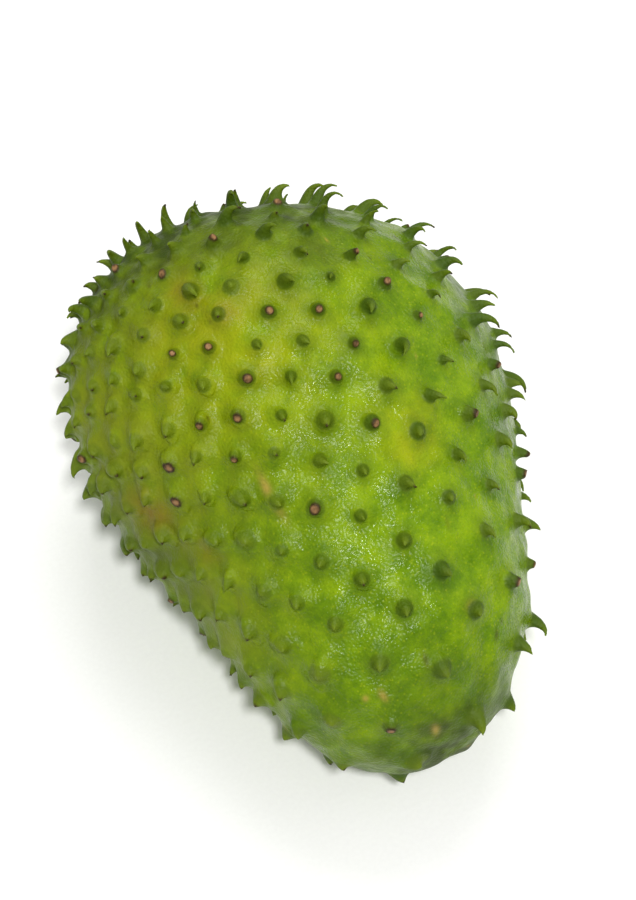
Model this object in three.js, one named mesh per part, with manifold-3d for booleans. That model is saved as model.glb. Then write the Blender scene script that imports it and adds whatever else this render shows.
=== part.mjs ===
// A soursop as picked, lying on its side: one fruit, grown in one piece, so one closed solid.
// The flesh is a lofted body that runs along +Y from the blossom end to the stem end. Soft hooked
// spines stand all over it in crossing spirals, one for each carpel. The solid is joined from the
// smooth body, the dry scar of the stalk and the spines, and cut flat where it has settled on the
// table. Millimetres, +Z up, with the origin in the middle of that flat spot.
import * as THREE from "three";
import { mergeVertices } from "three/addons/utils/BufferGeometryUtils.js";
import Module from "manifold-3d";

// ---- Driving dimensions ----------------------------------------------------------------------

const BODY_LENGTH = 196; // from the blossom end to the stem end, without spines
const BODY_MIDDLE_Y = -14; // middle of that length
const BODY_MIDDLE_Z = 58.6; // height of the body's axis, half way along
const DEPTH_TO_WIDTH = 0.9; // the fruit is a little flatter than it is wide
const AXIS_TILT = THREE.MathUtils.degToRad(8); // the broad stem end lies higher than the blossom end

// Stations at equal angles from the stem end to the blossom end: how far the axis swings sideways,
// and the half width that the body would have there if its ends weren't rounded off.
const AXIS_OFFSETS = [-22, -9, -1, 0, -4, -4];
const HALF_WIDTHS = [50, 81, 75, 59, 61, 66];

const STEM_HOLLOW_DEPTH = 7;
const STEM_HOLLOW_RADIUS = 17;
const SCAR_RADIUS = 6.5; // the dry scar that the stalk has left in the hollow
const SCAR_HEIGHT = 3;

const SPINE_COUNT = 396;
const SPINE_TURN = THREE.MathUtils.degToRad(137.508); // from one spine to the next round the axis
const FIRST_SPINE = THREE.MathUtils.degToRad(214.4); // where the first one stands
const THINNING_AT_BLOSSOM = 0.8; // share by which they thin out towards the blossom end
const CROWDING = 0.28; // how they crowd on the starved side of the fruit
const CROWDED_SIDE = THREE.MathUtils.degToRad(149); // which lies between -X and the top
const STRAYING = 0.03; // how far a spine may stray from its place in the spiral, in radians
const BARE_CAP = 0.24; // no spines within this angle of the stem end, in radians

const SPINE_RADIUS = 3; // at the skin
const SPINE_LENGTH = 6; // half way between the ends, on top
const LONGER_AT_STEM = 1.6; // how much longer they stand at the stem end, and shorter at the other
const LONGER_AT_RIGHT = 1; // and on the full side of the fruit, which faces +X
const SPINE_LENGTH_SPREAD = 0.25; // share by which a spine is longer or shorter than its neighbours
const SPINE_HOOK = 0.6; // how far a tip bends over towards the blossom end, as a share of the length
const SPINE_FOOT = 1.2; // how deep its foot stands in the flesh
const SHORTEST_SPINE = 1.5; // with less room than this under the fruit, a spine is worn away
const FLOOR_CLEARANCE = 0.3; // between the table and the tips beside the flat spot

const BODY_COLUMNS = 32;
const BODY_ROWS = 20;
const SPINE_SIDES = 3;
const SPINE_RINGS = 2;
const SCAR_SIDES = 12;

// ---- The body's shape ------------------------------------------------------------------------

// A smooth curve through values at equal angles from 0 to pi, level at both ends.
function throughStations(values) {
  const last = values.length - 1;
  const padded = [values[1], ...values, values[last - 1]];
  return (angle) => {
    const place = (angle / Math.PI) * last;
    const i = Math.min(Math.max(Math.floor(place), 0), last - 1);
    const t = place - i;
    const [a, b, c, d] = padded.slice(i, i + 4);
    return b + 0.5 * t * (c - a + t * (2 * a - 5 * b + 4 * c - d + t * (3 * (b - c) + d - a)));
  };
}

const axisOffset = throughStations(AXIS_OFFSETS);
const halfWidth = throughStations(HALF_WIDTHS);

// The point of the skin at an angle from the stem end, 0, to the blossom end, pi, and at an angle
// round the axis, from +X towards +Z.
function skinPoint(fromStem, around) {
  const radius = halfWidth(fromStem) * Math.sin(fromStem);
  const hollow = fromStem < Math.PI / 2 ? Math.exp(-((radius / STEM_HOLLOW_RADIUS) ** 2)) : 0;
  const along = (BODY_LENGTH / 2) * Math.cos(fromStem) - STEM_HOLLOW_DEPTH * hollow;
  return new THREE.Vector3(
    axisOffset(fromStem) + radius * Math.cos(around),
    BODY_MIDDLE_Y + along,
    BODY_MIDDLE_Z + along * Math.tan(AXIS_TILT) + DEPTH_TO_WIDTH * radius * Math.sin(around),
  );
}

// How far the skin moves for a small step of each angle.
function skinSteps(fromStem, around, step = 1e-3) {
  return {
    along: skinPoint(fromStem + step, around).sub(skinPoint(fromStem - step, around)).divideScalar(2 * step),
    round: skinPoint(fromStem, around + step).sub(skinPoint(fromStem, around - step)).divideScalar(2 * step),
  };
}

// ---- Solids ----------------------------------------------------------------------------------

const wasm = await Module();
wasm.setup();

// A closed geometry as a solid that can be joined and cut.
function solid(geometry) {
  const bare = geometry.clone().deleteAttribute("normal").deleteAttribute("uv");
  const merged = mergeVertices(bare, 1e-4);
  return new wasm.Manifold(
    new wasm.Mesh({
      numProp: 3,
      vertProperties: merged.attributes.position.array,
      triVerts: new Uint32Array(merged.index.array),
    }),
  );
}

// A solid as a geometry for a mesh.
function geometryOf(made) {
  const { vertProperties, triVerts } = made.getMesh();
  const geometry = new THREE.BufferGeometry();
  geometry.setAttribute("position", new THREE.BufferAttribute(vertProperties, 3));
  geometry.setIndex(new THREE.BufferAttribute(triVerts, 1));
  geometry.computeVertexNormals();
  return geometry;
}

// Moves every vertex of a geometry to where place puts it.
function reshape(geometry, place) {
  const { position } = geometry.attributes;
  const vertex = new THREE.Vector3();
  for (let i = 0; i < position.count; i++) {
    const { x, y, z } = place(vertex.fromBufferAttribute(position, i));
    position.setXYZ(i, x, y, z);
  }
  return geometry;
}

// The flesh: a unit sphere with its poles on Y, stretched to the skin.
function body() {
  const sphere = new THREE.SphereGeometry(1, BODY_COLUMNS, BODY_ROWS);
  return solid(reshape(sphere, ({ x, y, z }) => skinPoint(Math.acos(y), Math.atan2(z, x))));
}

// The dry scar in the stem hollow, a low disc that narrows outwards.
function stalkScar() {
  const disc = new THREE.CylinderGeometry(0.8 * SCAR_RADIUS, SCAR_RADIUS, 2 * SCAR_HEIGHT, SCAR_SIDES);
  const middle = skinPoint(0, 0);
  return solid(disc.rotateX(AXIS_TILT).translate(middle.x, middle.y, middle.z));
}

// ---- Spines ----------------------------------------------------------------------------------

// A repeatable number from 0 to 1, so that no two spines are quite alike.
function chance(spine, use) {
  const mixed = Math.sin(spine * 12.9898 + use * 78.233) * 43758.5453;
  return mixed - Math.floor(mixed);
}

// For each spine its angle from the stem end, so that they share the skin out evenly but for the
// thinning towards the blossom end.
function spineRows() {
  const steps = 400;
  const shares = [0];
  for (let i = 0; i < steps; i++) {
    const fromStem = (Math.PI * (i + 0.5)) / steps;
    let ring = 0;
    for (let k = 0; k < 16; k++) {
      const { along, round } = skinSteps(fromStem, (k * Math.PI) / 8);
      ring += along.cross(round).length();
    }
    shares.push(shares[i] + ring * (1 - THINNING_AT_BLOSSOM * Math.sin(fromStem / 2) ** 4));
  }
  const rows = [];
  for (let spine = 0, i = 0; spine < SPINE_COUNT; spine++) {
    const share = (shares[steps] * (spine + 0.5)) / SPINE_COUNT;
    while (shares[i + 1] < share) i++;
    rows.push((Math.PI * (i + (share - shares[i]) / (shares[i + 1] - shares[i]))) / steps);
  }
  return rows;
}

// One spine in a row, hooked towards the blossom end, or null where there is no room for one.
function spine(index, row) {
  const fromStem = row + STRAYING * (chance(index, 9) - 0.5);
  if (fromStem < BARE_CAP) return null;
  const turn = FIRST_SPINE + index * SPINE_TURN;
  const crowded = turn - CROWDING * Math.sin(turn - CROWDED_SIDE);
  const around = crowded + STRAYING * (chance(index, 10) - 0.5);
  const foot = skinPoint(fromStem, around);
  const steps = skinSteps(fromStem, around);
  const along = steps.along.normalize();
  const out = new THREE.Vector3().crossVectors(steps.round, along).normalize();
  const side = new THREE.Vector3().crossVectors(out, along);

  const usual = SPINE_LENGTH + LONGER_AT_STEM * Math.cos(fromStem) + LONGER_AT_RIGHT * Math.cos(around);
  let length = usual * (1 + SPINE_LENGTH_SPREAD * (2 * chance(index, 1) - 1));
  const drop = -out.z - along.z * SPINE_HOOK;
  if (drop > 0) length = Math.min(length, (foot.z - FLOOR_CLEARANCE) / drop);
  if (length < SHORTEST_SPINE) return null;

  const cone = new THREE.ConeGeometry(SPINE_RADIUS, 1, SPINE_SIDES, SPINE_RINGS);
  return solid(
    reshape(cone, ({ x, y, z }) => {
      const rise = y + 0.5;
      return foot
        .clone()
        .addScaledVector(out, rise * (length + SPINE_FOOT) - SPINE_FOOT)
        .addScaledVector(side, x)
        .addScaledVector(along, z + SPINE_HOOK * length * rise ** 2);
    }),
  );
}

// ---- The fruit -------------------------------------------------------------------------------

function soursop() {
  const spines = spineRows().map((row, index) => spine(index, row));
  const table = solid(new THREE.BoxGeometry(400, 400, 40).translate(0, 0, -20));
  return wasm.Manifold.union([body(), stalkScar(), ...spines.filter(Boolean)]).subtract(table);
}

const skin = new THREE.MeshStandardMaterial({ color: "#6f9a1c", roughness: 0.4, metalness: 0 });
const fruit = new THREE.Mesh(geometryOf(soursop()), skin);
fruit.name = "soursop";

const part = new THREE.Group();
part.add(fruit);
export default part;
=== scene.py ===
"""A soursop as picked, lying on its side on a pale table top.

The flesh is one smooth lopsided body. Its 380 soft spines stand in crossing spirals, each on the
low mound of its carpel and hooked over towards the blossom end. Shapes are worked out in
millimetres and handed to Blender in metres, in the part's frame: +Z up, +Y towards the stem end.
"""

import logging
import math
from dataclasses import dataclass, field
from enum import Enum, IntEnum
from typing import Any

import bmesh
import bpy
import numpy as np
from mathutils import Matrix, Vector, noise
from mathutils.kdtree import KDTree


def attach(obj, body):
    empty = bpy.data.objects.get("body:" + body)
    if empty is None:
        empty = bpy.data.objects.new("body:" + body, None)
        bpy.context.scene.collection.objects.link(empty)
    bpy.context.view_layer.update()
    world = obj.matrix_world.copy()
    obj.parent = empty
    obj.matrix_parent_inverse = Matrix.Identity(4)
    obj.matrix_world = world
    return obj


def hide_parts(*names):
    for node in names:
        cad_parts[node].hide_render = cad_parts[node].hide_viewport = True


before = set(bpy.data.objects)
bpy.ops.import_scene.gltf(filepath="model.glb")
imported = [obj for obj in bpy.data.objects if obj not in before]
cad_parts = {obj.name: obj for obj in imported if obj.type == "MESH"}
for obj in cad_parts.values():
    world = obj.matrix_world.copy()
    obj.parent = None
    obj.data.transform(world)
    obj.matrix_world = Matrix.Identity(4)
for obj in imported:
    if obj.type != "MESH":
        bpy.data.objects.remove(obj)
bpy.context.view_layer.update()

MM = 0.001

log = logging.getLogger("soursop")

Colour = tuple[float, float, float, float]
Pairs = tuple[tuple[float, float], ...]


# ---- Small tools ------------------------------------------------------------------------------


def linear(colour: str) -> Colour:
    """Turns an sRGB hex colour into the linear one that shaders take.

    Args:
        colour: such as "#8fae1e".

    Returns:
        Red, green, blue and an alpha of 1.
    """
    parts = [int(colour[i : i + 2], 16) / 255 for i in (1, 3, 5)]
    red, green, blue = (c / 12.92 if c <= 0.04045 else ((c + 0.055) / 1.055) ** 2.4 for c in parts)
    return (red, green, blue, 1.0)


def add_node(
    tree: bpy.types.NodeTree,
    kind: str,
    inputs: dict[str | int, Any] | None = None,
    stops: list[tuple[float, str]] | None = None,
    **settings: Any,
) -> bpy.types.Node:
    """Adds a node with its settings and links.

    Args:
        tree: the node tree that it joins.
        kind: Blender's name for the node's type.
        inputs: what each of its inputs takes, by name or number: an output of another node, a
            number, a vector or an sRGB hex colour.
        stops: the places and sRGB hex colours of a colour ramp.
        settings: its properties by name.

    Returns:
        The new node.
    """
    node = tree.nodes.new(kind)
    for name, value in settings.items():
        setattr(node, name, value)
    for name, value in (inputs or {}).items():
        if isinstance(value, bpy.types.NodeSocket):
            tree.links.new(value, node.inputs[name])
        else:
            node.inputs[name].default_value = linear(value) if isinstance(value, str) else value
    if stops:
        ramp = node.color_ramp.elements
        while len(ramp) < len(stops):
            ramp.new(1.0)
        for element, (place, colour) in zip(ramp, stops):
            element.position = place
            element.color = linear(colour)
    return node


def ease(low: float, high: float, value: np.ndarray) -> np.ndarray:
    """Rises smoothly from 0 at low to 1 at high, for each value."""
    t = np.clip((value - low) / (high - low), 0, 1)
    return t * t * (3 - 2 * t)


class Draw(IntEnum):
    """What a repeatable random number decides, so that two uses for one spine differ."""

    HEIGHT = 1
    TWIST = 2
    TIP = 3
    GIRTH = 4
    LEAN = 5
    CURL = 6
    FIN = 7
    TONE = 8
    STRAY_ALONG = 9
    STRAY_ROUND = 10
    WORN_SHORT = 11
    MOUND = 12
    SPOT_FROM_STEM = 20
    SPOT_AROUND = 21
    SPOT_SIZE = 22
    SPOT_TINT = 23
    SPOT_STRENGTH = 24
    SPOT_STRETCH = 25


def chance(number: int, use: Draw) -> float:
    """Gives a repeatable number from 0 to 1 for a numbered spine or spot, by the sine hash."""
    mixed = math.sin(number * 12.9898 + use * 78.233) * 43758.5453
    return mixed - math.floor(mixed)


def ripple(points: np.ndarray, pitch: float, seed: float) -> np.ndarray:
    """Smooth noise from about -1 to 1.

    Args:
        points: places in millimetres, one per row.
        pitch: how far apart its lumps are, in millimetres.
        seed: moves the pattern, so that two uses of one pitch differ.

    Returns:
        One value per place.
    """
    scaled = points / pitch + seed
    return np.array([noise.noise(Vector(p)) for p in scaled])


@dataclass
class Shell:
    """A closed surface as corners, in millimetres, and the faces between them."""

    corners: np.ndarray
    faces: list[tuple[int, ...]]

    @classmethod
    def through_rings(cls, rings: np.ndarray, first: np.ndarray, last: np.ndarray) -> "Shell":
        """Joins rings of points, and closes both ends on a point.

        Args:
            rings: an array of rings, each a row of points in the same turning direction.
            first: the point that closes the first ring.
            last: the point that closes the last ring.

        Returns:
            The closed surface.
        """
        rows, columns, _ = rings.shape
        corners = np.vstack([rings.reshape(-1, 3), first, last])
        start, end = rows * columns, rows * columns + 1
        faces: list[tuple[int, ...]] = []
        for column in range(columns):
            after = (column + 1) % columns
            faces.append((start, after, column))
            for row in range(rows - 1):
                low, high = row * columns, (row + 1) * columns
                faces.append((low + column, low + after, high + after, high + column))
            top = (rows - 1) * columns
            faces.append((end, top + column, top + after))
        return cls(corners, faces)

    @classmethod
    def gathered(cls, shells: list["Shell"]) -> "Shell":
        """Puts several surfaces into one list of corners and faces.

        Args:
            shells: the surfaces, which stay loose from each other.

        Returns:
            All of them as one surface.
        """
        faces: list[tuple[int, ...]] = []
        count = 0
        for shell in shells:
            faces += [tuple(corner + count for corner in face) for face in shell.faces]
            count += len(shell.corners)
        return cls(np.vstack([shell.corners for shell in shells]), faces)

    def to_object(self, name: str) -> bpy.types.Object:
        """Makes a smooth-shaded Blender object of the surface.

        Args:
            name: of the object and its mesh.

        Returns:
            The object, in the scene, in metres.
        """
        mesh = bpy.data.meshes.new(name)
        mesh.from_pydata((self.corners * MM).tolist(), [], self.faces)
        mesh.shade_smooth()
        piece = bpy.data.objects.new(name, mesh)
        bpy.context.scene.collection.objects.link(piece)
        return piece


# ---- The shape of the fruit -------------------------------------------------------------------


@dataclass(frozen=True)
class FleshBody:
    """The smooth flesh under the spines, lofted along a slightly bent axis. Sizes in millimetres.

    A place on its skin has an angle from the stem end, 0, to the blossom end, pi, and an angle
    round the axis, from +X towards +Z.
    """

    length: float = 196.0
    middle_y: float = -14.0
    middle_z: float = 58.6
    depth_to_width: float = 0.9
    axis_tilt: float = math.radians(8)
    axis_offsets: tuple[float, ...] = (-22, -9, -1, 0, -4, -4)
    half_widths: tuple[float, ...] = (50, 81, 75, 59, 61, 66)
    hollow_depth: float = 7.0
    hollow_radius: float = 17.0

    @staticmethod
    def through_stations(values: tuple[float, ...], angle: np.ndarray) -> np.ndarray:
        """Runs a smooth curve through values at equal angles from 0 to pi.

        Args:
            values: the stations, from the stem end on.
            angle: where the curve is read.

        Returns:
            The curve's value for each angle.
        """
        last = len(values) - 1
        padded = np.array([values[1], *values, values[last - 1]], float)
        place = angle / math.pi * last
        i = np.clip(np.floor(place).astype(int), 0, last - 1)
        t = place - i
        a, b, c, d = (padded[i + k] for k in range(4))
        return b + 0.5 * t * (c - a + t * (2 * a - 5 * b + 4 * c - d + t * (3 * (b - c) + d - a)))

    def point(self, from_stem: np.ndarray, around: np.ndarray) -> np.ndarray:
        """Works out places on the skin.

        Args:
            from_stem: angles from the stem end.
            around: angles round the axis.

        Returns:
            The place of the skin at each pair of angles.
        """
        from_stem, around = np.broadcast_arrays(from_stem, around)
        radius = self.through_stations(self.half_widths, from_stem) * np.sin(from_stem)
        dip = np.exp(-((radius / self.hollow_radius) ** 2))
        hollow = np.where(from_stem < math.pi / 2, dip, 0)
        along = self.length / 2 * np.cos(from_stem) - self.hollow_depth * hollow
        offset = self.through_stations(self.axis_offsets, from_stem)
        x = offset + radius * np.cos(around)
        y = self.middle_y + along
        rise = along * math.tan(self.axis_tilt)
        z = self.middle_z + rise + self.depth_to_width * radius * np.sin(around)
        return np.stack([x, y, z], axis=-1)

    def steps(self, from_stem: np.ndarray, around: np.ndarray) -> tuple[np.ndarray, np.ndarray]:
        """Tells how far the skin moves for a small step of each angle.

        Args:
            from_stem: angles from the stem end.
            around: angles round the axis.

        Returns:
            The step along the fruit and the step round it, for each pair of angles.
        """
        small = 1e-3
        along = self.point(from_stem + small, around) - self.point(from_stem - small, around)
        around_step = self.point(from_stem, around + small) - self.point(from_stem, around - small)
        return along / (2 * small), around_step / (2 * small)


class Tip(Enum):
    """How a spine ends."""

    GREEN = "green to its point"
    DRIED = "dried brown at its point"
    SNAPPED = "snapped off short, with a tan wound"


@dataclass
class Spine:
    """One soft spine, from its foot in the skin to its tip. Sizes in millimetres.

    Out points away from the skin, along is the way the spine hooks over, and side lies across it.
    Fin is how much deeper the foot is along the hook than across it, peaked how far its mound is a
    scale instead of a dome, and tone how light it is.
    """

    foot: np.ndarray
    out: np.ndarray
    along: np.ndarray
    side: np.ndarray
    height: float
    radius: float
    lean: float
    curl: float
    fin: float
    mound_height: float
    mound_radius: float
    peaked: float
    tip: Tip
    tone: float
    snapped_at: float = 0.55
    wound_sink: float = -0.15
    tip_rise: float = 0.7
    blunt_radius: float = 0.5
    foot_depth: float = 2.2
    flare: float = 0.5
    flare_height: float = 1.2
    taper: float = 0.58
    rings: int = 18
    sides: int = 14

    def centre_line(self) -> tuple[np.ndarray, np.ndarray, np.ndarray]:
        """Works out the curve that the spine follows above the skin.

        Returns:
            The share of the spine's height, the centre and the direction at each ring.
        """
        end = self.snapped_at if self.tip is Tip.SNAPPED else 1.0
        share = np.linspace(0, 1, 3 * self.rings)
        bend = self.lean * (1 - np.exp(-6 * share)) + self.curl * share**1.8
        rise = np.concatenate([[0], np.cumsum((np.cos(bend)[1:] + np.cos(bend)[:-1]) / 2)])
        shift = np.concatenate([[0], np.cumsum((np.sin(bend)[1:] + np.sin(bend)[:-1]) / 2)])
        scale = self.height / rise.max()
        places = np.linspace(0, end, self.rings)
        rise = np.interp(places, share, rise) * scale
        shift = np.interp(places, share, shift) * scale
        bend = np.interp(places, share, bend)
        centres = self.foot + np.outer(rise, self.out) + np.outer(shift, self.along)
        directions = np.outer(np.cos(bend), self.out) + np.outer(np.sin(bend), self.along)
        return places, centres, directions

    def girth(self, share: np.ndarray) -> np.ndarray:
        """Works out how thick the spine is: a flared foot, a full shaft and a fine tip.

        Args:
            share: shares of the spine's height.

        Returns:
            The radius at each share.
        """
        flare = self.flare * np.exp(-share * self.height / self.flare_height)
        taper = np.clip(1 - share, 0, 1) ** self.taper
        return np.maximum(self.radius * (taper + flare), self.blunt_radius)

    def shell(self) -> Shell:
        """Builds the spine's closed surface, with its foot sunk in the flesh.

        Returns:
            A tube round the centre line, sunk at a snapped end and rounded at a whole one.
        """
        share, centres, directions = self.centre_line()
        girth = self.girth(share)
        centres = np.vstack([self.foot - self.foot_depth * self.out, centres])
        directions = np.vstack([self.out, directions])
        girth = np.concatenate([girth[:1], girth])
        share = np.concatenate([[0], share])
        across = np.cross(directions, self.side)
        turn = np.linspace(0, 2 * math.pi, self.sides, endpoint=False)
        thick = 1 + (self.fin - 1) * (1 - share)
        rings = (
            centres[:, None]
            + (girth[:, None] * np.cos(turn))[..., None] * self.side
            - ((girth * thick)[:, None] * np.sin(turn))[..., None] * across[:, None]
        )
        over = self.wound_sink if self.tip is Tip.SNAPPED else self.tip_rise
        last = centres[-1] + directions[-1] * girth[-1] * over
        return Shell.through_rings(rings, centres[0] - 0.3 * self.out, last)


@dataclass(frozen=True)
class Habit:
    """How one measure of the spines varies over the fruit and from spine to spine.

    It has a base, what a starved carpel and the blossom end add, and how far chance may add more.
    """

    base: float
    starved: float = 0.0
    blossom: float = 0.0
    spread: float = 0.0
    starved_spread: float = 0.0

    def value(self, starved: float, blossom: float, lot: float = 0.0) -> float:
        """Gives the measure of one spine.

        Args:
            starved: how starved its carpel is, from 0 to 1.
            blossom: how near it is to the blossom end, from 0 to 1.
            lot: its random number, from 0 to 1.

        Returns:
            The measure.
        """
        spread = (self.spread + self.starved_spread * starved) * lot
        return self.base + self.starved * starved + self.blossom * blossom + spread


@dataclass(frozen=True)
class SpineField:
    """Where the spines stand, and how they vary over the fruit. Sizes in millimetres."""

    flesh: FleshBody
    count: int = 396
    first: float = math.radians(214.4)
    turn: float = math.radians(137.508)
    thinning_at_blossom: float = 0.8
    crowding: float = 0.28
    crowded_side: float = math.radians(149)
    straying: float = 0.03
    bare_cap: float = 0.24
    height: float = 6.0
    taller_at_stem: float = 1.6
    taller_at_right: float = 1.0
    height_spread: float = 0.25
    hook: float = 0.6
    shortest: float = 1.5
    floor_clearance: float = 0.3
    worn_short: float = 0.3
    starved_short: float = 0.25
    radius: float = 1.65
    girth: Habit = Habit(0.7, starved=0.15, blossom=0.4, spread=0.56)
    fin: Habit = Habit(1.1, starved=0.4, spread=0.3)
    mound: Habit = Habit(0.6, starved=2.2, spread=0.6, starved_spread=1.8)
    mound_radius: float = 4.2
    twist: float = 0.8
    least_lean: float = 0.1
    more_lean: float = 0.3
    least_curl: float = 0.5
    more_curl: float = 1.5
    sure_curl: float = 0.35
    starved_side: float = math.radians(160)
    rubbed_place: tuple[float, float] = (1.4, math.radians(105))
    rubbed_reach: float = 0.55
    snapped: Habit = Habit(0.12, starved=-0.06, blossom=0.1)
    rubbed_snapped: float = 0.36
    dried: Habit = Habit(0.25, starved=0.2)

    def rows(self) -> np.ndarray:
        """Shares the skin out between the spines.

        Returns:
            Each spine's place in the spiral as an angle from the stem end.
        """
        steps = 400
        from_stem = math.pi * (np.arange(steps) + 0.5) / steps
        around = np.arange(16) * math.pi / 8
        along, round_step = self.flesh.steps(from_stem[:, None], around[None])
        ring = np.linalg.norm(np.cross(along, round_step), axis=-1).sum(axis=1)
        weight = ring * (1 - self.thinning_at_blossom * np.sin(from_stem / 2) ** 4)
        shares = np.concatenate([[0], np.cumsum(weight)])
        wanted = shares[-1] * (np.arange(self.count) + 0.5) / self.count
        return np.interp(wanted, shares, np.arange(steps + 1)) * math.pi / steps

    def spines(self) -> list[Spine]:
        """Makes every spine that has room, each with its own height, lean, curl and tip."""
        made = (self.spine(index, row) for index, row in enumerate(self.rows()))
        return [spine for spine in made if spine is not None]

    def spine(self, index: int, row: float) -> Spine | None:
        """Makes one spine.

        Args:
            index: its number in the spiral, counted from the stem end.
            row: its place in the spiral, as an angle from the stem end.

        Returns:
            The spine, or None on the bare cap and under the fruit, where there is no room.
        """
        from_stem = row + self.straying * (chance(index, Draw.STRAY_ALONG) - 0.5)
        if from_stem < self.bare_cap:
            return None
        turn = self.first + index * self.turn
        around = turn - self.crowding * math.sin(turn - self.crowded_side)
        around += self.straying * (chance(index, Draw.STRAY_ROUND) - 0.5)
        angles = np.array(from_stem), np.array(around)
        foot = self.flesh.point(*angles)
        along, round_step = self.flesh.steps(*angles)
        along /= np.linalg.norm(along)
        out = np.cross(round_step, along)
        out /= np.linalg.norm(out)
        side = np.cross(out, along)

        at_right, at_stem = math.cos(around), math.cos(from_stem)
        height = self.height + self.taller_at_stem * at_stem + self.taller_at_right * at_right
        height *= 1 + self.height_spread * (2 * chance(index, Draw.HEIGHT) - 1)
        drop = -out[2] - along[2] * self.hook
        if drop > 0:
            height = min(height, (foot[2] - self.floor_clearance) / drop)
        if height < self.shortest:
            return None

        twist = self.twist * (2 * chance(index, Draw.TWIST) - 1)
        starved = max(0.0, math.cos(around - self.starved_side)) ** 2 * math.sin(from_stem)
        blossom = max(0.0, -at_stem)
        vigour = float(np.clip(0.5 + 0.35 * at_stem + 0.3 * at_right, 0, 1))
        height *= 1 - self.worn_short * (1 - blossom) * chance(index, Draw.WORN_SHORT)
        weakness = self.more_lean * (1 - vigour + starved)
        curl = self.more_curl * vigour * (self.sure_curl + chance(index, Draw.CURL))
        return Spine(
            foot=foot,
            out=out,
            along=along * math.cos(twist) + side * math.sin(twist),
            side=side * math.cos(twist) - along * math.sin(twist),
            height=height * (1 - self.starved_short * starved),
            radius=self.radius * self.girth.value(starved, blossom, chance(index, Draw.GIRTH)),
            lean=self.least_lean + weakness * chance(index, Draw.LEAN),
            curl=self.least_curl + curl,
            fin=self.fin.value(starved, blossom, chance(index, Draw.FIN)),
            mound_height=self.mound.value(starved, blossom, chance(index, Draw.MOUND)),
            mound_radius=self.mound_radius,
            peaked=starved,
            tip=self.tip(index, from_stem, around, starved, blossom),
            tone=chance(index, Draw.TONE),
        )

    def tip(
        self, index: int, from_stem: float, around: float, starved: float, blossom: float
    ) -> Tip:
        """Decides how a spine ends. More of them are snapped on the crest, which gets rubbed.

        Args:
            index: the spine's number.
            from_stem: its angle from the stem end.
            around: its angle round the axis.
            starved: how starved its carpel is, from 0 to 1.
            blossom: how near it is to the blossom end, from 0 to 1.

        Returns:
            The way that it ends.
        """
        from_crest = np.array([from_stem, around % (2 * math.pi)]) - self.rubbed_place
        rubbed = math.exp(-((from_crest / self.rubbed_reach) ** 2).sum())
        snapped = self.snapped.value(starved, blossom) + self.rubbed_snapped * rubbed
        lot = chance(index, Draw.TIP)
        if lot < snapped:
            return Tip.SNAPPED
        return Tip.DRIED if lot < snapped + self.dried.value(starved, blossom) else Tip.GREEN


# ---- Finishes ---------------------------------------------------------------------------------


class Tint(Enum):
    """The layers of colour over the green of the skin, from the lowest up."""

    YELLOW = "yellow"
    OLIVE = "olive"
    # painted shade over a partly deeper tone: darker ends, underside, rims and creases, where less
    # light falls
    SHADED = "shaded"
    # grey wax bloom with a painted sheen along the rims, where the wax reflects at grazing angles
    BLOOM = "bloom"
    BLUSH = "blush"
    SCAR = "scar"
    SPINE = "spine"
    SPINE_TIP = "spine_tip"
    DRIED = "dried"
    WOUND = "wound"


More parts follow.
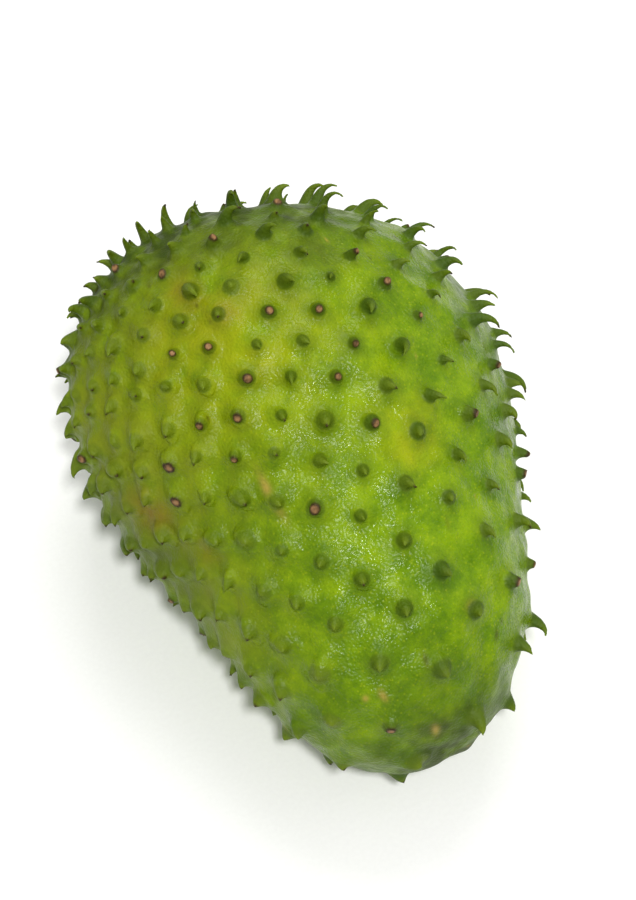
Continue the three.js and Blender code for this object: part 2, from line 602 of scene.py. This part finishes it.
@dataclass(frozen=True)
class WaxyRind:
    """The living rind of a soursop: fine-pimpled green skin under its own thin wax.

    The wax makes it gleam in small specks on the pimples instead of in one broad highlight, and
    the green changes over the fruit: yellow where the sun reached it, olive where it grew starved.
    Pitches and heights are in millimetres.
    """

    deep_green: str = "#557803"
    green: str = "#6a8b03"
    light_green: str = "#7e9c04"
    dot: str = "#a6b414"
    layers: tuple[tuple[Tint, str], ...] = (
        (Tint.YELLOW, "#a0a808"),
        (Tint.OLIVE, "#8a960c"),
        # painted shade over a partly deeper tone
        (Tint.SHADED, "#3a4a08"),
        # grey wax bloom with a painted sheen
        (Tint.BLOOM, "#67754c"),
        (Tint.BLUSH, "#947418"),
        (Tint.SCAR, "#ac9244"),
        (Tint.SPINE, "#374f09"),
        (Tint.SPINE_TIP, "#647610"),
        (Tint.DRIED, "#35260f"),
        (Tint.WOUND, "#97714a"),
    )
    wax_ior: float = 1.43
    wax_level: float = 0.22
    wax_roughness: tuple[float, float] = (0.08, 0.3)
    dull_roughness: float = 0.55
    pimple_pitch: float = 0.9  # drawn a little coarser than the real half millimetre, to show
    pimple_height: float = 0.28
    grain_pitch: float = 0.5  # drawn coarser than the skin's cells, which are a tenth of this
    grain_height: float = 0.16
    pore_pitch: float = 1.7
    rubbed_pitch: float = 5.0
    cloud_pitch: float = 12.0
    glow_depth: float = 2.0  # how far light wanders under the skin

    def material(self) -> bpy.types.Material:
        """Builds the rind's material from the attributes that the fruit's mesh carries.

        Returns:
            The material.
        """
        material = bpy.data.materials.new("waxy_soursop_rind")
        material.use_nodes = True
        tree = material.node_tree
        tree.nodes.clear()
        place = add_node(tree, "ShaderNodeTexCoord").outputs["Object"]

        # Clouds of lighter and deeper green, from patches as wide as a thumb down to freckles.
        clouds = {"Vector": place, "Scale": 1 / (self.cloud_pitch * MM)}
        clouds |= {"Detail": 6.0, "Roughness": 0.7}
        tint = add_node(tree, "ShaderNodeTexNoise", clouds).outputs["Fac"]
        greens = [(0.38, self.deep_green), (0.5, self.green), (0.62, self.light_green)]
        skin = add_node(tree, "ShaderNodeValToRGB", {"Fac": tint}, greens).outputs["Color"]

        # The pores are pale dots between the pimples.
        pores = {"Vector": place, "Scale": 1 / (self.pore_pitch * MM)}
        pore = add_node(tree, "ShaderNodeTexVoronoi", pores, feature="F1").outputs["Distance"]
        edge = {"Value": pore, "From Min": 0.28, "From Max": 0.1, "To Max": 0.35}
        dot = add_node(tree, "ShaderNodeMapRange", edge).outputs["Result"]
        mix = {0: dot, 6: skin, 7: self.dot}
        skin = add_node(tree, "ShaderNodeMix", mix, data_type="RGBA").outputs[2]

        shares: dict[Tint, bpy.types.NodeSocket] = {}
        for layer, colour in self.layers:
            source = add_node(tree, "ShaderNodeAttribute", attribute_name=layer.value)
            shares[layer] = source.outputs["Fac"]
            mix = {0: shares[layer], 6: skin, 7: colour}
            skin = add_node(tree, "ShaderNodeMix", mix, data_type="RGBA").outputs[2]

        # The wax gleams between rubbed spots, and a spine is duller than the skin round it.
        clouds = {"Vector": place, "Scale": 1 / (self.rubbed_pitch * MM)}
        rubbed = add_node(tree, "ShaderNodeTexNoise", clouds).outputs["Fac"]
        smoothest, roughest = self.wax_roughness
        wax = {"Value": rubbed, "From Min": 0.35, "From Max": 0.65}
        wax |= {"To Min": smoothest, "To Max": roughest}
        roughness = add_node(tree, "ShaderNodeMapRange", wax).outputs["Result"]
        for layer in (Tint.SPINE, Tint.OLIVE, Tint.SHADED, Tint.BLOOM):
            dull = {"Value": shares[layer], "To Min": roughness, "To Max": self.dull_roughness}
            roughness = add_node(tree, "ShaderNodeMapRange", dull).outputs["Result"]

        # The pimples carry a finer grain, which breaks their gleam up.
        clouds = {"Vector": place, "Scale": 1 / (self.grain_pitch * MM), "Detail": 3.0}
        grain = add_node(tree, "ShaderNodeTexNoise", clouds).outputs["Fac"]
        relief = {"Height": grain, "Strength": 0.5, "Distance": self.grain_height * MM}
        normal = add_node(tree, "ShaderNodeBump", relief).outputs["Normal"]
        cells = {"Vector": place, "Scale": 1 / (self.pimple_pitch * MM), "Smoothness": 0.7}
        pimple = add_node(tree, "ShaderNodeTexVoronoi", cells, feature="SMOOTH_F1")
        relief = {"Height": pimple.outputs["Distance"], "Normal": normal}
        relief |= {"Strength": 0.9, "Distance": self.pimple_height * MM}
        normal = add_node(tree, "ShaderNodeBump", relief, invert=True).outputs["Normal"]

        look = {"Base Color": skin, "Roughness": roughness, "Normal": normal}
        look |= {"IOR": self.wax_ior, "Specular IOR Level": self.wax_level}
        look |= {"Subsurface Weight": 0.1, "Subsurface Radius": (0.7, 1.0, 0.1)}
        look |= {"Subsurface Scale": self.glow_depth * MM}
        surface = add_node(tree, "ShaderNodeBsdfPrincipled", look).outputs["BSDF"]
        add_node(tree, "ShaderNodeOutputMaterial", {"Surface": surface})
        return material


@dataclass(frozen=True)
class CorkyScar:
    """The cork that closes the wound of a stalk: dead brown tissue, rough and quite dull.

    It is darkest in the ring where the bark of the stalk sat. Pitch and depth in millimetres.
    """

    dark: str = "#2f2013"
    light: str = "#8a6a45"
    grain_pitch: float = 1.1  # the crumbs of cork
    grain_depth: float = 0.4

    def material(self) -> bpy.types.Material:
        """Builds the scar's material, which is darker where the mesh is sunk.

        Returns:
            The material.
        """
        material = bpy.data.materials.new("corky_stalk_scar")
        material.use_nodes = True
        tree = material.node_tree
        tree.nodes.clear()
        place = add_node(tree, "ShaderNodeTexCoord").outputs["Object"]
        clouds = {"Vector": place, "Scale": 1 / (self.grain_pitch * MM)}
        clouds |= {"Detail": 4.0, "Roughness": 0.65}
        grain = add_node(tree, "ShaderNodeTexNoise", clouds).outputs["Fac"]
        browns = [(0.35, self.dark), (0.65, self.light)]
        colour = add_node(tree, "ShaderNodeValToRGB", {"Fac": grain}, browns).outputs["Color"]
        rim = add_node(tree, "ShaderNodeAttribute", attribute_name="rim").outputs["Fac"]
        sunk = {"Value": rim, "From Min": 0.9, "From Max": 0.35, "To Max": 0.75}
        share = add_node(tree, "ShaderNodeMapRange", sunk).outputs["Result"]
        mix = {0: share, 6: colour, 7: self.dark}
        colour = add_node(tree, "ShaderNodeMix", mix, data_type="RGBA").outputs[2]
        relief = {"Height": grain, "Strength": 0.8, "Distance": self.grain_depth * MM}
        normal = add_node(tree, "ShaderNodeBump", relief).outputs["Normal"]
        look = {"Base Color": colour, "Normal": normal, "Roughness": 0.85, "IOR": 1.4}
        surface = add_node(tree, "ShaderNodeBsdfPrincipled", look).outputs["BSDF"]
        add_node(tree, "ShaderNodeOutputMaterial", {"Surface": surface})
        return material


@dataclass(frozen=True)
class PaintedBoard:
    """A fibre board rolled with matt emulsion, which shows nothing but soft shadows."""

    paint: str = "#fdfdfb"
    shade: str = "#fafaf8"
    roller_pitch: float = 1.5  # millimetres between the dabs of a short-pile roller

    def material(self) -> bpy.types.Material:
        """Builds the board's material, with the faint stipple of the roller.

        Returns:
            The material.
        """
        material = bpy.data.materials.new("matt_painted_board")
        material.use_nodes = True
        tree = material.node_tree
        tree.nodes.clear()
        place = add_node(tree, "ShaderNodeTexCoord").outputs["Object"]
        clouds = {"Vector": place, "Scale": 1 / (self.roller_pitch * MM)}
        stipple = add_node(tree, "ShaderNodeTexNoise", clouds).outputs["Fac"]
        paints = [(0.3, self.shade), (0.7, self.paint)]
        colour = add_node(tree, "ShaderNodeValToRGB", {"Fac": stipple}, paints).outputs["Color"]
        look = {"Base Color": colour, "Roughness": 0.9}
        surface = add_node(tree, "ShaderNodeBsdfPrincipled", look).outputs["BSDF"]
        add_node(tree, "ShaderNodeOutputMaterial", {"Surface": surface})
        return material


# ---- The pieces -------------------------------------------------------------------------------


@dataclass(frozen=True)
class Patch:
    """A soft-edged patch of one tint on the skin.

    It lies at an angle from the stem end, in radians, and one round the axis, in degrees. It
    reaches so many millimetres, and stretch times as far along the fruit.
    """

    tint: Tint
    from_stem: float
    around: float
    reach: float
    strength: float = 1.0
    stretch: float = 1.0

    def share(self, flesh: FleshBody, points: np.ndarray) -> np.ndarray:
        """Tells how strongly the patch shows.

        Args:
            flesh: the body that it lies on.
            points: places in millimetres.

        Returns:
            A share from 0 to the patch's strength for each place.
        """
        angles = np.array(self.from_stem), np.radians(np.array(self.around))
        along, _ = flesh.steps(*angles)
        along /= np.linalg.norm(along)
        away = points - flesh.point(*angles)
        lengthways = away @ along
        squared = (away**2).sum(axis=1) - lengthways**2 + (lengthways / self.stretch) ** 2
        return self.strength * np.exp(-squared / self.reach**2)


SMALL_PATCH = 3.0  # millimetres of reach below which a patch keeps a plain outline

PATCHES = (
    Patch(Tint.YELLOW, 1.25, 114, 38, 0.95),
    Patch(Tint.YELLOW, 1.76, 72, 11, 0.8),
    Patch(Tint.YELLOW, 1.9, -80, 40, 0.7),
    Patch(Tint.OLIVE, 1.45, 160, 36, 0.75),
    Patch(Tint.OLIVE, 1.1, 152, 30, 0.65),
    Patch(Tint.OLIVE, 1.95, 168, 26, 0.6),
    # Painted shade over a partly deeper tone: the stem end, the blossom end, the underside and the
    # rims are darker, where less light falls.
    Patch(Tint.SHADED, 0.3, 20, 58, 1.0),
    Patch(Tint.SHADED, 0.85, 72, 24, 0.45),
    Patch(Tint.SHADED, 3.05, 0, 30, 0.7),
    Patch(Tint.SHADED, 2.8, 265, 30, 0.7),
    Patch(Tint.SHADED, 2.3, 210, 20, 0.5),
    Patch(Tint.SHADED, 0.4, 110, 34, 0.6),
    Patch(Tint.SHADED, 0.45, 165, 34, 0.5),
    Patch(Tint.SHADED, 1.6, 175, 26, 0.5),
    Patch(Tint.SHADED, 1.15, 5, 24, 0.45),
    # Grey wax bloom with a painted sheen along the right and left rims, where the wax reflects the
    # room at grazing angles.
    Patch(Tint.BLOOM, 1.2, 25, 20, 0.3),
    Patch(Tint.BLOOM, 1.55, 15, 22, 0.4),
    Patch(Tint.BLOOM, 2.0, 12, 16, 0.25),
    Patch(Tint.BLOOM, 1.4, 182, 20, 0.4),
    Patch(Tint.BLOOM, 1.9, 186, 18, 0.35),
    Patch(Tint.BLUSH, 1.23, 106, 5, 0.45),
    Patch(Tint.BLUSH, 1.10, 112, 6, 0.4),
    Patch(Tint.BLUSH, 1.55, 158, 9, 0.5),
    Patch(Tint.BLUSH, 1.75, 150, 6, 0.4),
    Patch(Tint.BLUSH, 1.3, -120, 9, 0.5),
    Patch(Tint.SCAR, 1.773, 118.8, 1.5, 1.0, 4.5),
    Patch(Tint.SCAR, 2.363, 62.4, 2.0, 0.7),
    Patch(Tint.SCAR, 2.544, 125.6, 1.0, 0.7),
)


@dataclass(frozen=True)
class Blemishes:
    """Small old scars and rubbed spots, scattered over the whole fruit. Sizes in millimetres."""

    count: int = 90
    smallest: float = 0.4
    largest: float = 1.3
    longest: float = 3.0
    scarred: float = 0.6

    def patches(self) -> list[Patch]:
        """Makes a patch of every blemish, small ones more often than large ones.

        Returns:
            The patches.
        """
        spread = self.largest - self.smallest
        return [
            Patch(
                Tint.SCAR if chance(i, Draw.SPOT_TINT) < self.scarred else Tint.DRIED,
                math.acos(1 - 2 * chance(i, Draw.SPOT_FROM_STEM)),
                360 * chance(i, Draw.SPOT_AROUND),
                self.smallest + spread * chance(i, Draw.SPOT_SIZE) ** 3,
                0.4 + 0.5 * chance(i, Draw.SPOT_STRENGTH),
                1 + (self.longest - 1) * chance(i, Draw.SPOT_STRETCH),
            )
            for i in range(self.count)
        ]


@dataclass
class Fruit:
    """The whole fruit: flesh, carpel mounds and spines, grown together into one surface.

    Sizes are in millimetres. The edges of a spine, the painted shade round its foot and its wound
    run from full to faded, in radii of the spine, and that of the painted shade in a crease from
    none to full, in millimetres. Dried lengths are shares of a spine's height. A mottle has a
    pitch, a strength and a seed.
    """

    flesh: FleshBody = field(default_factory=FleshBody)
    finish: WaxyRind = field(default_factory=WaxyRind)
    blemishes: Blemishes = field(default_factory=Blemishes)
    spines: list[Spine] = field(init=False)
    feet: KDTree = field(init=False)
    voxel: float = 0.55
    grid: float = 1.3
    longest_way: float = 282.7  # over the skin from end to end
    widest_way: float = 439.8  # round the fruit
    mound_upstream: float = 1.4
    mound_downstream: float = 0.7
    peak_reach: float = 1.9
    crease_depth: float = 1.6
    swells: Pairs = ((34.0, 1.0), (13.0, 1.2), (6.5, 0.75))  # pitch and height
    lump_height: float = 0.18
    lump_pitch: float = 4.0
    spine_edge: tuple[float, float] = (1.1, 1.8)
    foot_shade_edge: tuple[float, float] = (1.2, 4.2)
    wound_edge: tuple[float, float] = (0.4, 0.7)
    crease_shade_edge: tuple[float, float] = (2.0, 5.0)
    dried_length: tuple[float, float] = (0.2, 0.04)
    mottle_level: float = 0.8
    mottles: tuple[tuple[float, float, float], ...] = ((3.0, 0.35, 9.4), (9.0, 0.55, 2.6))
    wander: float = 6.0
    wander_pitch: float = 15.0

    def __post_init__(self) -> None:
        """Grows the spines and files their feet for looking up."""
        self.spines = SpineField(self.flesh).spines()
        self.feet = KDTree(len(self.spines))
        for number, spine in enumerate(self.spines):
            self.feet.insert(spine.foot, number)
        self.feet.balance()

    def per_spine(self, name: str, which: np.ndarray) -> np.ndarray:
        """Reads one field of the spines with the given numbers."""
        return np.array([getattr(spine, name) for spine in self.spines])[which]

    def relief(self, points: np.ndarray) -> np.ndarray:
        """Tells how far the skin stands off the smooth flesh.

        A carpel's mound runs up gently from the stem side to its spine and drops steeply behind
        it, so that starved carpels overlap like scales.

        Args:
            points: places on the smooth flesh.

        Returns:
            The height of the mounds and swellings at each place, in millimetres.
        """
        near = np.array([[n for _, n, _ in self.feet.find_n(p, 5)] for p in points])
        away = points[:, None] - self.per_spine("foot", near)
        along = np.einsum("nij,nij->ni", away, self.per_spine("along", near))
        side = np.einsum("nij,nij->ni", away, self.per_spine("side", near))
        along /= np.where(along < 0, self.mound_upstream, self.mound_downstream)
        height = self.per_spine("mound_height", near)
        peaked = self.per_spine("peaked", near)
        steps = np.sqrt(along**2 + side**2) / self.per_spine("mound_radius", near)
        peak = np.clip(1 - steps / self.peak_reach, 0, 1) ** 1.4
        mounds = height * ((1 - peaked) * np.exp(-(steps**2)) + peaked * peak)
        total = (mounds**3).sum(axis=1) ** (1 / 3) - self.crease_depth * peaked.mean(axis=1)
        for pitch, swell in self.swells:
            total += swell * ripple(points, pitch, 3.7)
        return total

    def flesh_shell(self) -> Shell:
        """Builds the flesh's surface, cut flat where it rests.

        Returns:
            The surface, with a point about every grid millimetres.
        """
        rows = round(self.longest_way / self.grid)
        columns = round(self.widest_way / self.grid)
        from_stem = (math.pi * np.arange(1, rows) / rows)[:, None]
        around = (2 * math.pi * np.arange(columns) / columns)[None]
        along, round_step = self.flesh.steps(from_stem, around)
        out = np.cross(round_step, along)
        out /= np.linalg.norm(out, axis=-1, keepdims=True)
        points = self.flesh.point(from_stem, around)
        height = self.relief(points.reshape(-1, 3)).reshape(points.shape[:2])
        points = points + height[..., None] * out
        points[..., 2] = np.maximum(points[..., 2], 0)
        ends = self.flesh.point(np.array([0, math.pi]), np.array([0, 0]))
        return Shell.through_rings(points[:, ::-1], ends[0], ends[1])

    def grown(self) -> bpy.types.Object:
        """Fuses the flesh and the spines into one surface with softened joins.

        Returns:
            The bare fruit, without finish.
        """
        shells = [self.flesh_shell()] + [spine.shell() for spine in self.spines]
        loose = Shell.gathered(shells).to_object("loose_shells")
        fuse = loose.modifiers.new("fuse", "REMESH")
        fuse.mode = "VOXEL"
        fuse.voxel_size = self.voxel * MM
        soften = loose.modifiers.new("soften", "SMOOTH")
        soften.factor = 0.5
        soften.iterations = 4
        seen = loose.evaluated_get(bpy.context.evaluated_depsgraph_get())
        mesh = bpy.data.meshes.new_from_object(seen)
        bpy.data.objects.remove(loose)
        self.drop_crumbs(mesh)
        mesh.name = "soursop_fruit"
        fruit = bpy.data.objects.new("soursop_fruit", mesh)
        bpy.context.scene.collection.objects.link(fruit)
        return fruit

    @staticmethod
    def drop_crumbs(mesh: bpy.types.Mesh) -> None:
        """Keeps only the largest connected part of a mesh, without the crumbs off fine tips.

        Args:
            mesh: the mesh, which is changed.
        """
        shape = bmesh.new()
        shape.from_mesh(mesh)
        unseen = set(shape.verts)
        parts = []
        while unseen:
            part = [unseen.pop()]
            for corner in part:
                for edge in corner.link_edges:
                    other = edge.other_vert(corner)
                    if other in unseen:
                        unseen.discard(other)
                        part.append(other)
            parts.append(part)
        parts.sort(key=len)
        crumbs = [corner for part in parts[:-1] for corner in part]
        bmesh.ops.delete(shape, geom=crumbs, context="VERTS")
        shape.to_mesh(mesh)
        shape.free()

    def nearest_spines(self, points: np.ndarray) -> tuple[np.ndarray, np.ndarray, np.ndarray]:
        """Finds the spine whose centre line is nearest to each place.

        Args:
            points: places on the fruit.

        Returns:
            The spine's number, the share of its height and the distance, for each place.
        """
        samples = [spine.centre_line() for spine in self.spines]
        tree = KDTree(sum(len(share) for share, _, _ in samples))
        owners, shares = [], []
        for number, (share, centres, _) in enumerate(samples):
            for s, centre in zip(share, centres):
                tree.insert(centre, len(owners))
                owners.append(number)
                shares.append(s)
        tree.balance()
        found = [tree.find(p) for p in points]
        sample = [index for _, index, _ in found]
        away = np.array([distance for _, _, distance in found])
        return np.array(owners)[sample], np.array(shares)[sample], away

    def skin_layers(self, points: np.ndarray) -> dict[Tint, np.ndarray]:
        """Works out the layers of colour that lie on the skin in patches.

        Args:
            points: places on the fruit.

        Returns:
            How strongly each layer shows at each place.
        """
        mottle = np.full(len(points), self.mottle_level)
        for pitch, strength, seed in self.mottles:
            mottle += strength * ripple(points, pitch, seed)
        shift = [ripple(points, self.wander_pitch, seed) for seed in (1.3, 7.7, 12.1)]
        wandered = points + self.wander * np.stack(shift, 1)
        layers = {tint: np.zeros(len(points)) for tint in Tint}
        for patch in (*PATCHES, *self.blemishes.patches()):
            if patch.reach < SMALL_PATCH:
                layers[patch.tint] += patch.share(self.flesh, points)
            else:
                layers[patch.tint] += patch.share(self.flesh, wandered) * mottle
        return layers

    def finish_surface(self, mesh: bpy.types.Mesh) -> None:
        """Adds the skin's small lumps, and writes the attributes that the rind's colours follow.

        Args:
            mesh: the fused surface, which is changed.
        """
        flat = np.empty((2, len(mesh.vertices) * 3), np.float32)
        mesh.vertices.foreach_get("co", flat[0])
        mesh.vertices.foreach_get("normal", flat[1])
        points = flat[0].reshape(-1, 3) / MM
        normals = flat[1].reshape(-1, 3)

        owner, share, away = self.nearest_spines(points)
        radii = away / self.per_spine("radius", owner)
        spine = 1 - ease(*self.spine_edge, radii)
        # painted shade round the foot of each spine
        foot_shade = 1 - ease(*self.foot_shade_edge, radii)
        core = 1 - ease(*self.wound_edge, radii)
        tips = self.per_spine("tip", owner)
        snapped = tips == Tip.SNAPPED
        longest, shortest = self.dried_length
        to_end = np.where(snapped, Spine.snapped_at, 1.0) - share
        near_end = ease(0, longest - shortest, longest - to_end) * (radii < 1)
        facing = np.einsum("ij,ij->i", normals, self.per_spine("out", owner))
        torn = np.clip(0.8 + 1.1 * ripple(points, 1.2, 4.4), 0, 1)
        wound = near_end * ease(0.4, 0.7, facing) * core * torn

        lumps = self.lump_height * ripple(points, self.lump_pitch, 5.1) * (1 - spine)
        points += lumps[:, None] * normals
        points[:, 2] = np.maximum(points[:, 2], 0)
        mesh.vertices.foreach_set("co", (points * MM).astype(np.float32).ravel())

        layers = self.skin_layers(points)
        peaked = self.per_spine("peaked", owner)
        tone = self.per_spine("tone", owner)
        # The spine's own dark green, and a painted shade round its foot.
        layers[Tint.SPINE] += np.maximum(0.9 * spine, 0.32 * foot_shade) * (1 - 0.5 * peaked)
        # Painted shade in the creases between the scales of starved carpels.
        layers[Tint.SHADED] += 0.2 * peaked * ease(*self.crease_shade_edge, away)
        layers[Tint.SPINE_TIP] += spine * (0.6 * ease(0.3, 1, share) + 0.4 * tone)
        layers[Tint.DRIED] += np.where(tips == Tip.GREEN, 0, near_end)
        layers[Tint.WOUND] += np.where(snapped, wound, 0)
        for tint, values in layers.items():
            layer = mesh.attributes.new(tint.value, "FLOAT", "POINT")
            layer.data.foreach_set("value", np.clip(values, 0, 1).astype(np.float32))
        mesh.update()

    def build(self) -> bpy.types.Object:
        """Builds the fruit and dresses it.

        Returns:
            The finished fruit, which stands for the whole CAD solid.
        """
        fruit = self.grown()
        self.finish_surface(fruit.data)
        fruit.data.shade_smooth()
        fruit.data.materials.clear()
        fruit.data.materials.append(self.finish.material())
        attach(fruit, "root")
        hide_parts("soursop")
        return fruit


@dataclass
class StalkScar:
    """The round corky scar in the stem hollow: a worn rim, a sunken ring and a woody core.

    Sizes are in millimetres. The profile runs from the foot of the rim to the middle, in shares of
    the radius and of the height.
    """

    flesh: FleshBody = field(default_factory=FleshBody)
    finish: CorkyScar = field(default_factory=CorkyScar)
    radius: float = 6.3
    height: float = 2.8
    sides: int = 48
    rim: Pairs = ((1.0, -1.0), (1.0, 0.2), (0.98, 0.6), (0.93, 0.9), (0.85, 1.0), (0.76, 0.9))
    core: Pairs = ((0.66, 0.5), (0.52, 0.35), (0.4, 0.4), (0.32, 0.6), (0.2, 0.68), (0.1, 0.66))
    middle: float = 0.64
    middle_tone: float = 0.6
    wear: float = 0.3
    wear_pitch: float = 2.0

    def shell(self) -> Shell:
        """Turns the profile into a closed surface, worn unevenly, that lies in the hollow.

        Returns:
            The surface.
        """
        radii, heights = np.array(self.rim + self.core).T
        turn = -2 * math.pi * np.arange(self.sides) / self.sides
        level = np.ones(self.sides)
        x = self.radius * np.outer(radii, np.cos(turn))
        y = self.height * np.outer(heights, level)
        z = self.radius * np.outer(radii, np.sin(turn))
        rings = np.stack([x, y, z], axis=-1)
        worn = ripple(rings.reshape(-1, 3), self.wear_pitch, 8.2).reshape(rings.shape[:2])
        rings *= 1 + 0.2 * self.wear * worn[..., None]
        rings[..., 1] += self.wear * worn
        ends = np.array([[0, -self.height, 0], [0, self.middle * self.height, 0]])

        tilt = self.flesh.axis_tilt
        up, along = math.sin(tilt), math.cos(tilt)
        lay = np.array([[1, 0, 0], [0, along, -up], [0, up, along]])
        place = self.flesh.point(np.array(0.0), np.array(0.0))
        first, last = ends @ lay.T + place
        return Shell.through_rings(rings @ lay.T + place, first, last)

    def build(self) -> bpy.types.Object:
        """Builds the scar and dresses it, with an attribute that tells its rim from its ring.

        Returns:
            The finished scar.
        """
        scar = self.shell().to_object("stalk_scar")
        heights = np.repeat([height for _, height in self.rim + self.core], self.sides)
        heights = np.append(heights, [0, self.middle_tone])
        rim = scar.data.attributes.new("rim", "FLOAT", "POINT")
        rim.data.foreach_set("value", np.clip(heights, 0, 1).astype(np.float32))
        scar.data.materials.append(self.finish.material())
        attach(scar, "root")
        return scar


def direction(azimuth: float, elevation: float) -> Vector:
    """Gives the direction from the fruit to a place at two angles in degrees."""
    around, up = math.radians(azimuth), math.radians(elevation)
    level = math.cos(up)
    return Vector((math.sin(around) * level, -math.cos(around) * level, math.sin(up)))


@dataclass(frozen=True)
class Softbox:
    """A square lamp with a white cloth front, which faces the fruit. Metres, degrees and watts."""

    name: str
    azimuth: float
    elevation: float
    distance: float
    size: float
    power: float

    def hang(self, aim: Vector) -> None:
        """Hangs the lamp.

        Args:
            aim: what it faces, and what its distance counts from.
        """
        data = bpy.data.lights.new(self.name, "AREA")
        data.size = self.size
        data.energy = self.power
        lamp = bpy.data.objects.new(self.name, data)
        back = direction(self.azimuth, self.elevation)
        lamp.location = aim + back * self.distance
        lamp.rotation_mode = "QUATERNION"
        lamp.rotation_quaternion = (-back).to_track_quat("-Z", "Y")
        bpy.context.scene.collection.objects.link(lamp)


@dataclass
class Studio:
    """A pale table top, soft lamps and the camera. Metres, degrees and watts.

    The camera looks along a line through aim, moved sideways by aside and upwards by above.
    """

    aim: tuple[float, float, float] = (-0.007, -0.006, 0.0586)
    azimuth: float = -24.0
    elevation: float = 60.0
    distance: float = 0.7
    aside: float = 0.006
    above: float = 0.00667
    lens: float = 84.0
    board: PaintedBoard = field(default_factory=PaintedBoard)
    board_reach: float = 3.0
    sky: float = 0.46
    lamps: tuple[Softbox, ...] = (
        Softbox("key_softbox", azimuth=-14, elevation=64, distance=1.1, size=0.09, power=7.5),
        Softbox("stem_softbox", azimuth=150, elevation=62, distance=1.1, size=0.5, power=4.5),
        Softbox("right_softbox", azimuth=75, elevation=35, distance=1.2, size=0.7, power=1),
    )

    def camera(self) -> None:
        """Sets up the camera."""
        back = direction(self.azimuth, self.elevation)
        turned = (-back).to_track_quat("-Z", "Y")
        view = turned.to_matrix()
        data = bpy.data.cameras.new("camera")
        data.lens = self.lens
        data.clip_start, data.clip_end = 0.01, 20
        camera = bpy.data.objects.new("camera", data)
        camera.rotation_mode = "QUATERNION"
        camera.rotation_quaternion = turned
        shift = view.col[0] * self.aside + view.col[1] * self.above
        camera.location = Vector(self.aim) + back * self.distance + shift
        bpy.context.scene.collection.objects.link(camera)
        bpy.context.scene.camera = camera

    def table(self) -> None:
        """Lays the table top."""
        reach = self.board_reach
        corners = [(-reach, -reach, 0), (reach, -reach, 0), (reach, reach, 0), (-reach, reach, 0)]
        mesh = bpy.data.meshes.new("table_top")
        mesh.from_pydata(corners, [], [(0, 1, 2, 3)])
        mesh.materials.append(self.board.material())
        table = bpy.data.objects.new("table_top", mesh)
        bpy.context.scene.collection.objects.link(table)

    def room_light(self) -> None:
        """Fills the room with even white light, and keeps the view's colours plain."""
        world = bpy.data.worlds.new("soft_room_light")
        world.use_nodes = True
        background = world.node_tree.nodes["Background"]
        background.inputs["Color"].default_value = linear("#ffffff")
        background.inputs["Strength"].default_value = self.sky
        bpy.context.scene.world = world
        bpy.context.scene.view_settings.view_transform = "Standard"

    def build(self) -> None:
        """Lays the table top and sets the light and the camera."""
        self.table()
        self.room_light()
        for lamp in self.lamps:
            lamp.hang(Vector(self.aim))
        self.camera()


# ---- All together -----------------------------------------------------------------------------


def main() -> None:
    """Builds the fruit, its stalk scar and the studio, and reports each."""
    logging.basicConfig(level=logging.INFO, format="%(name)s: %(message)s")
    fruit = Fruit()
    piece = fruit.build()
    log.info("%s: %d spines, %d faces", piece.name, len(fruit.spines), len(piece.data.polygons))
    scar = StalkScar().build()
    log.info("%s: %d faces", scar.name, len(scar.data.polygons))
    Studio().build()
    log.info("studio: table top, lamps and camera")


if __name__ == "__main__":
    main()
